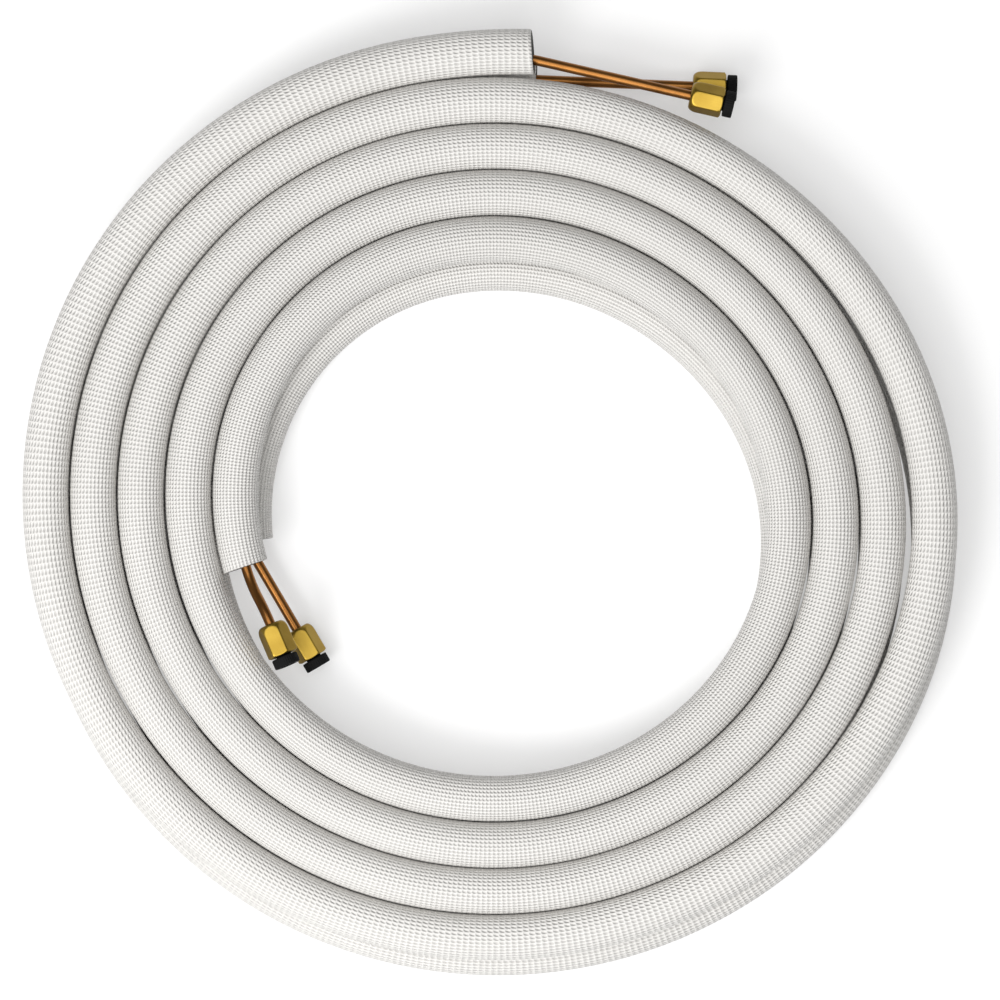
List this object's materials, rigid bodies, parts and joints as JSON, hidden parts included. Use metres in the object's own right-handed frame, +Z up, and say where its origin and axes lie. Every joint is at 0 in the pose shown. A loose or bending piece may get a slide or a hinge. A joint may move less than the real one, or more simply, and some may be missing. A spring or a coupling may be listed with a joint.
{
  "type": "mini split line set",
  "caption": "Flat coil of twin foam-insulated copper refrigerant lines with plugged brass flare nuts on the bare tube ends.",
  "frame": {"origin": "middle of the bounding box, on the floor under the coil", "axes": "+Z up along the coil's axis; +Y towards the outer ends of the lines; +X the way those ends point"},
  "size_m": [0.5806, 0.5884, 0.0657],
  "materials": {
    "foam": "embossed white film over foam",
    "copper": "bright drawn copper",
    "brass": "machined, bright",
    "black_plastic": "moulded, satin"
  },
  "bodies": {
    "coil": {"sleeve_upper": "foam", "sleeve_lower": "foam", "copper_tube_upper": "copper", "copper_tube_lower": "copper"},
    "nut_lower_outer": {"flare_nut_lower_outer": "brass", "plug_lower_outer": "black_plastic"},
    "nut_lower_inner": {"flare_nut_lower_inner": "brass", "plug_lower_inner": "black_plastic"},
    "nut_upper_outer": {"flare_nut_upper_outer": "brass", "plug_upper_outer": "black_plastic"},
    "nut_upper_inner": {"flare_nut_upper_inner": "brass", "plug_upper_inner": "black_plastic"}
  },
  "joints": [
    {"name": "nut_lower_outer_swivel", "type": "hinge", "parent": "coil", "child": "nut_lower_outer", "pos_m": [0.12595, 0.26136, 0.01393], "axis": [0.9991, -0.0418, 0], "continuous": true},
    {"name": "nut_lower_inner_swivel", "type": "hinge", "parent": "coil", "child": "nut_lower_inner", "pos_m": [-0.122, -0.07816, 0.01393], "axis": [0.5067, -0.8621, 0], "continuous": true},
    {"name": "nut_upper_outer_swivel", "type": "hinge", "parent": "coil", "child": "nut_upper_outer", "pos_m": [0.12329, 0.25333, 0.0421], "axis": [0.9749, -0.2225, 0], "continuous": true},
    {"name": "nut_upper_inner_swivel", "type": "hinge", "parent": "coil", "child": "nut_upper_inner", "pos_m": [-0.13637, -0.07426, 0.05498], "axis": [0.3934, -0.9152, 0.0872], "continuous": true}
  ]
}
